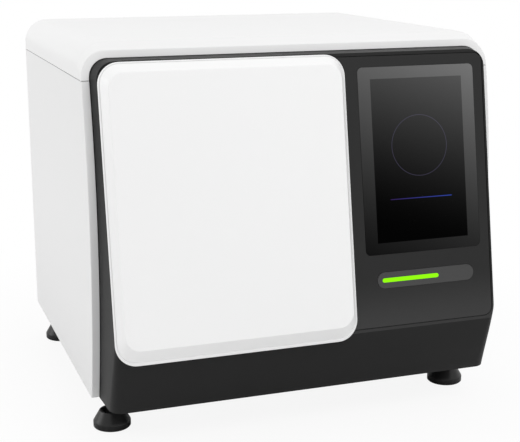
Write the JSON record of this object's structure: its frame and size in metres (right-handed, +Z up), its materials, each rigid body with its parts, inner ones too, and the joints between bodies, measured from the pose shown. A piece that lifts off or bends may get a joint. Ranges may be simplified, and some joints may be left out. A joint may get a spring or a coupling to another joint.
{
  "type": "digital pcr machine",
  "caption": "White bench-top digital PCR machine with bowed shell, leaning black front, flip-up sample door, upright touch screen and levelling feet.",
  "frame": {"origin": "on the bench, under the middle of the whole machine's width and depth", "axes": "+X to the user's right, +Y from the door to the back, +Z up from the bench"},
  "size_m": [0.565, 0.5446, 0.5147],
  "materials": {
    "shell_white": "satin light grey-white paint",
    "cover_white": "satin white moulding",
    "door_white": "satin white moulding",
    "fascia_black": "fine-grained black moulding",
    "panel_black": "satin black flush panel",
    "screen_glass": "polished black cover glass",
    "display": "display module",
    "capsule_grey": "satin dark grey capsule",
    "light_pipe": "lit green light pipe",
    "foot_rubber": "moulded black rubber",
    "seal_rubber": "soft grey seal",
    "inner_plastic": "light grey moulding",
    "steel_sheet": "galvanised sheet",
    "steel_rail": "ground steel",
    "chrome_part": "bright hinge and screws",
    "hinge_black": "black-plated hinge leaves",
    "anodised": "clear anodised",
    "anodised_black": "black anodised",
    "rear_grey": "light grey paint",
    "motor_black": "black motor",
    "chip_plastic": "clear-white chip",
    "filter_glass": "coated filter glass",
    "circuit_green": "circuit board",
    "fan_black": "black fan",
    "belt_black": "toothed belt",
    "port_steel": "socket shell"
  },
  "bodies": {
    "housing": {"base_tray": "steel_sheet", "chassis_left": "steel_sheet", "chassis_right": "steel_sheet", "divider": "steel_sheet", "left_side_panel": "shell_white", "right_side_panel": "shell_white", "top_cover": "cover_white", "rear_panel": "rear_grey", "fascia_frame": "fascia_black", "fascia_panel": "panel_black", "touch_glass": "screen_glass", "display_panel": "display", "status_trim": "capsule_grey", "status_light_pipe": "light_pipe", "door_magnets": "chrome_part", "hinge_fixed_leaves": "hinge_black", "chamber_liner": "inner_plastic", "deck_plate": "anodised", "stage_rails": "steel_rail", "screw_bearings": "anodised_black", "stage_motor": "motor_black", "lid_columns": "steel_rail", "lid_bridge": "anodised", "lid_actuator": "motor_black", "gantry_beam": "anodised", "gantry_rail": "steel_rail", "gantry_belt": "belt_black", "gantry_motor": "motor_black", "main_board": "circuit_green", "power_supply": "steel_sheet", "fan_frames": "fan_black", "fan_guards": "chrome_part", "rear_screws": "chrome_part", "power_inlet": "fan_black", "data_ports": "port_steel"},
    "door": {"door_skin": "door_white", "door_liner": "inner_plastic", "door_seal": "seal_rubber", "door_strikes": "chrome_part", "hinge_door_leaves": "hinge_black"},
    "stage": {"stage_carriage": "anodised", "thermal_block": "anodised", "chip_nest": "anodised_black", "sample_chips": "chip_plastic"},
    "stage_screw": {"stage_screw": "steel_rail"},
    "lid": {"heated_lid": "anodised_black"},
    "optics": {"optics_carriage": "anodised", "optics_housing": "anodised_black", "objective_lens": "anodised_black"},
    "wheel": {"filter_wheel": "anodised_black", "filter_glasses": "filter_glass"},
    "drive_pulley": {"gantry_drive_pulley": "anodised"},
    "idler_pulley": {"gantry_idler_pulley": "anodised"},
    "fan_left": {"fan_rotor_left": "fan_black"},
    "fan_right": {"fan_rotor_right": "fan_black"},
    "rocker": {"power_rocker": "fan_black"},
    "foot_fl": {"foot_front_left": "foot_rubber"},
    "foot_fr": {"foot_front_right": "foot_rubber"},
    "foot_bl": {"foot_back_left": "foot_rubber"},
    "foot_br": {"foot_back_right": "foot_rubber"}
  },
  "joints": [
    {"name": "door_hinge", "type": "hinge", "parent": "housing", "child": "door", "pos_m": [-0.10345, -0.19288, 0.49196], "axis": [-1, 0, 0], "range_deg": [0, 90]},
    {"name": "stage_slide", "type": "slide", "parent": "housing", "child": "stage", "axis": [0, 1, 0], "range_m": [0, 0.11]},
    {"name": "stage_screw_turn", "type": "hinge", "parent": "housing", "child": "stage_screw", "pos_m": [-0.103, -0.05, 0.169], "axis": [0, 1, 0], "range_deg": [0, 1600]},
    {"name": "lid_slide", "type": "slide", "parent": "housing", "child": "lid", "axis": [0, 0, 1], "range_m": [-0.012, 0]},
    {"name": "optics_slide", "type": "slide", "parent": "housing", "child": "optics", "axis": [1, 0, 0], "range_m": [-0.05, 0.05]},
    {"name": "drive_pulley_turn", "type": "hinge", "parent": "housing", "child": "drive_pulley", "pos_m": [0.024, -0.0048, 0.388], "axis": [0, 1, 0], "range_deg": [-360, 360]},
    {"name": "idler_pulley_turn", "type": "hinge", "parent": "housing", "child": "idler_pulley", "pos_m": [-0.23, -0.0048, 0.388], "axis": [0, 1, 0], "range_deg": [-360, 360]},
    {"name": "filter_wheel_turn", "type": "hinge", "parent": "optics", "child": "wheel", "pos_m": [-0.079, -0.05973, 0.3205], "axis": [0, 0, 1], "continuous": true},
    {"name": "fan_left_turn", "type": "hinge", "parent": "housing", "child": "fan_left", "pos_m": [-0.15, 0.2553, 0.33], "axis": [0, 1, 0], "continuous": true},
    {"name": "fan_right_turn", "type": "hinge", "parent": "housing", "child": "fan_right", "pos_m": [0.165, 0.2553, 0.33], "axis": [0, 1, 0], "continuous": true},
    {"name": "mains_rocker", "type": "hinge", "parent": "housing", "child": "rocker", "pos_m": [0.2, 0.26507, 0.118], "axis": [0, 0, 1], "range_deg": [0, 14]},
    {"name": "foot_fl_height", "type": "slide", "parent": "housing", "child": "foot_fl", "axis": [0, 0, -1], "range_m": [0, 0.01]},
    {"name": "foot_fr_height", "type": "slide", "parent": "housing", "child": "foot_fr", "axis": [0, 0, -1], "range_m": [0, 0.01]},
    {"name": "foot_bl_height", "type": "slide", "parent": "housing", "child": "foot_bl", "axis": [0, 0, -1], "range_m": [0, 0.01]},
    {"name": "foot_br_height", "type": "slide", "parent": "housing", "child": "foot_br", "axis": [0, 0, -1], "range_m": [0, 0.01]}
  ],
  "couplings": [
    {"joint": "stage_screw_turn", "follows": "stage_slide", "rad_per_m": 251.33},
    {"joint": "drive_pulley_turn", "follows": "optics_slide", "rad_per_m": -125},
    {"joint": "idler_pulley_turn", "follows": "optics_slide", "rad_per_m": -125}
  ]
}
